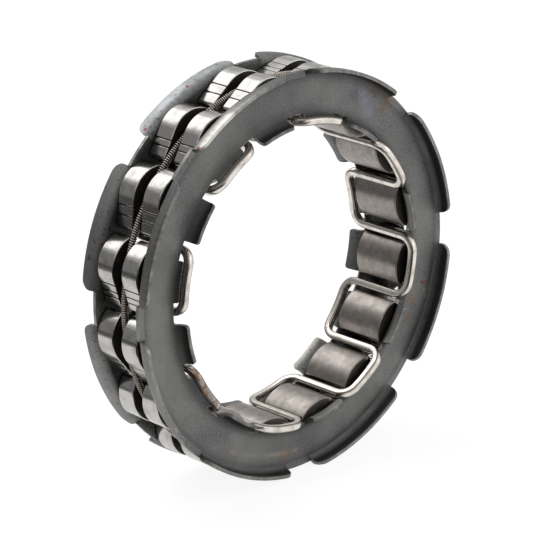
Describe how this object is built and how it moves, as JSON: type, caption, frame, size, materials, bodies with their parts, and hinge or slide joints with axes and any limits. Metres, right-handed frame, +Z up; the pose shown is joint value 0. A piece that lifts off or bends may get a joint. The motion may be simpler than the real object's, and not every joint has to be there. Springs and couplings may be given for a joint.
{
  "type": "sprag clutch",
  "caption": "Caged one-way sprag clutch: wedge-shaped sprags between two pressed steel side rings, held by a serpentine wire and a garter spring.",
  "frame": {"origin": "centre of the clutch, on its axis and midway between the two side rings", "axes": "the clutch's axis lies along Y with the front side ring towards -Y; +Z is up as the clutch stands, and +X is to the right seen from the front"},
  "size_m": [0.0696, 0.0156, 0.0696],
  "materials": {
    "side_rings": "dark grey phosphated sheet steel, satin",
    "retaining_wire": "bright drawn spring wire, nickel grey",
    "garter_spring": "fine wound spring steel",
    "sprags": "hardened steel, ground and tumbled, satin"
  },
  "bodies": {
    "cage": {"front_side_ring": "side_rings", "rear_side_ring": "side_rings", "retaining_wire": "retaining_wire", "garter_spring": "garter_spring"},
    "sprag_01": {"sprag_01": "sprags"},
    "sprag_02": {"sprag_02": "sprags"},
    "sprag_03": {"sprag_03": "sprags"},
    "sprag_04": {"sprag_04": "sprags"},
    "sprag_05": {"sprag_05": "sprags"},
    "sprag_06": {"sprag_06": "sprags"},
    "sprag_07": {"sprag_07": "sprags"},
    "sprag_08": {"sprag_08": "sprags"},
    "sprag_09": {"sprag_09": "sprags"},
    "sprag_10": {"sprag_10": "sprags"},
    "sprag_11": {"sprag_11": "sprags"},
    "sprag_12": {"sprag_12": "sprags"},
    "sprag_13": {"sprag_13": "sprags"},
    "sprag_14": {"sprag_14": "sprags"},
    "sprag_15": {"sprag_15": "sprags"},
    "sprag_16": {"sprag_16": "sprags"}
  },
  "joints": [
    {"name": "sprag_01_tilt", "type": "hinge", "parent": "cage", "child": "sprag_01", "pos_m": [0.02923, 0, 0.00581], "axis": [0, 1, 0], "range_deg": [0, 6], "stiffness_Nm_per_rad": 0.02, "springref_deg": -5.73},
    {"name": "sprag_02_tilt", "type": "hinge", "parent": "cage", "child": "sprag_02", "pos_m": [0.02478, 0, 0.01656], "axis": [0, 1, 0], "range_deg": [0, 6], "stiffness_Nm_per_rad": 0.02, "springref_deg": -5.73},
    {"name": "sprag_03_tilt", "type": "hinge", "parent": "cage", "child": "sprag_03", "pos_m": [0.01656, 0, 0.02478], "axis": [0, 1, 0], "range_deg": [0, 6], "stiffness_Nm_per_rad": 0.02, "springref_deg": -5.73},
    {"name": "sprag_04_tilt", "type": "hinge", "parent": "cage", "child": "sprag_04", "pos_m": [0.00581, 0, 0.02923], "axis": [0, 1, 0], "range_deg": [0, 6], "stiffness_Nm_per_rad": 0.02, "springref_deg": -5.73},
    {"name": "sprag_05_tilt", "type": "hinge", "parent": "cage", "child": "sprag_05", "pos_m": [-0.00581, 0, 0.02923], "axis": [0, 1, 0], "range_deg": [0, 6], "stiffness_Nm_per_rad": 0.02, "springref_deg": -5.73},
    {"name": "sprag_06_tilt", "type": "hinge", "parent": "cage", "child": "sprag_06", "pos_m": [-0.01656, 0, 0.02478], "axis": [0, 1, 0], "range_deg": [0, 6], "stiffness_Nm_per_rad": 0.02, "springref_deg": -5.73},
    {"name": "sprag_07_tilt", "type": "hinge", "parent": "cage", "child": "sprag_07", "pos_m": [-0.02478, 0, 0.01656], "axis": [0, 1, 0], "range_deg": [0, 6], "stiffness_Nm_per_rad": 0.02, "springref_deg": -5.73},
    {"name": "sprag_08_tilt", "type": "hinge", "parent": "cage", "child": "sprag_08", "pos_m": [-0.02923, 0, 0.00581], "axis": [0, 1, 0], "range_deg": [0, 6], "stiffness_Nm_per_rad": 0.02, "springref_deg": -5.73},
    {"name": "sprag_09_tilt", "type": "hinge", "parent": "cage", "child": "sprag_09", "pos_m": [-0.02923, 0, -0.00581], "axis": [0, 1, 0], "range_deg": [0, 6], "stiffness_Nm_per_rad": 0.02, "springref_deg": -5.73},
    {"name": "sprag_10_tilt", "type": "hinge", "parent": "cage", "child": "sprag_10", "pos_m": [-0.02478, 0, -0.01656], "axis": [0, 1, 0], "range_deg": [0, 6], "stiffness_Nm_per_rad": 0.02, "springref_deg": -5.73},
    {"name": "sprag_11_tilt", "type": "hinge", "parent": "cage", "child": "sprag_11", "pos_m": [-0.01656, 0, -0.02478], "axis": [0, 1, 0], "range_deg": [0, 6], "stiffness_Nm_per_rad": 0.02, "springref_deg": -5.73},
    {"name": "sprag_12_tilt", "type": "hinge", "parent": "cage", "child": "sprag_12", "pos_m": [-0.00581, 0, -0.02923], "axis": [0, 1, 0], "range_deg": [0, 6], "stiffness_Nm_per_rad": 0.02, "springref_deg": -5.73},
    {"name": "sprag_13_tilt", "type": "hinge", "parent": "cage", "child": "sprag_13", "pos_m": [0.00581, 0, -0.02923], "axis": [0, 1, 0], "range_deg": [0, 6], "stiffness_Nm_per_rad": 0.02, "springref_deg": -5.73},
    {"name": "sprag_14_tilt", "type": "hinge", "parent": "cage", "child": "sprag_14", "pos_m": [0.01656, 0, -0.02478], "axis": [0, 1, 0], "range_deg": [0, 6], "stiffness_Nm_per_rad": 0.02, "springref_deg": -5.73},
    {"name": "sprag_15_tilt", "type": "hinge", "parent": "cage", "child": "sprag_15", "pos_m": [0.02478, 0, -0.01656], "axis": [0, 1, 0], "range_deg": [0, 6], "stiffness_Nm_per_rad": 0.02, "springref_deg": -5.73},
    {"name": "sprag_16_tilt", "type": "hinge", "parent": "cage", "child": "sprag_16", "pos_m": [0.02923, 0, -0.00581], "axis": [0, 1, 0], "range_deg": [0, 6], "stiffness_Nm_per_rad": 0.02, "springref_deg": -5.73}
  ],
  "couplings": [
    {"joint": "sprag_02_tilt", "follows": "sprag_01_tilt", "ratio": 1},
    {"joint": "sprag_03_tilt", "follows": "sprag_01_tilt", "ratio": 1},
    {"joint": "sprag_04_tilt", "follows": "sprag_01_tilt", "ratio": 1},
    {"joint": "sprag_05_tilt", "follows": "sprag_01_tilt", "ratio": 1},
    {"joint": "sprag_06_tilt", "follows": "sprag_01_tilt", "ratio": 1},
    {"joint": "sprag_07_tilt", "follows": "sprag_01_tilt", "ratio": 1},
    {"joint": "sprag_08_tilt", "follows": "sprag_01_tilt", "ratio": 1},
    {"joint": "sprag_09_tilt", "follows": "sprag_01_tilt", "ratio": 1},
    {"joint": "sprag_10_tilt", "follows": "sprag_01_tilt", "ratio": 1},
    {"joint": "sprag_11_tilt", "follows": "sprag_01_tilt", "ratio": 1},
    {"joint": "sprag_12_tilt", "follows": "sprag_01_tilt", "ratio": 1},
    {"joint": "sprag_13_tilt", "follows": "sprag_01_tilt", "ratio": 1},
    {"joint": "sprag_14_tilt", "follows": "sprag_01_tilt", "ratio": 1},
    {"joint": "sprag_15_tilt", "follows": "sprag_01_tilt", "ratio": 1},
    {"joint": "sprag_16_tilt", "follows": "sprag_01_tilt", "ratio": 1}
  ]
}
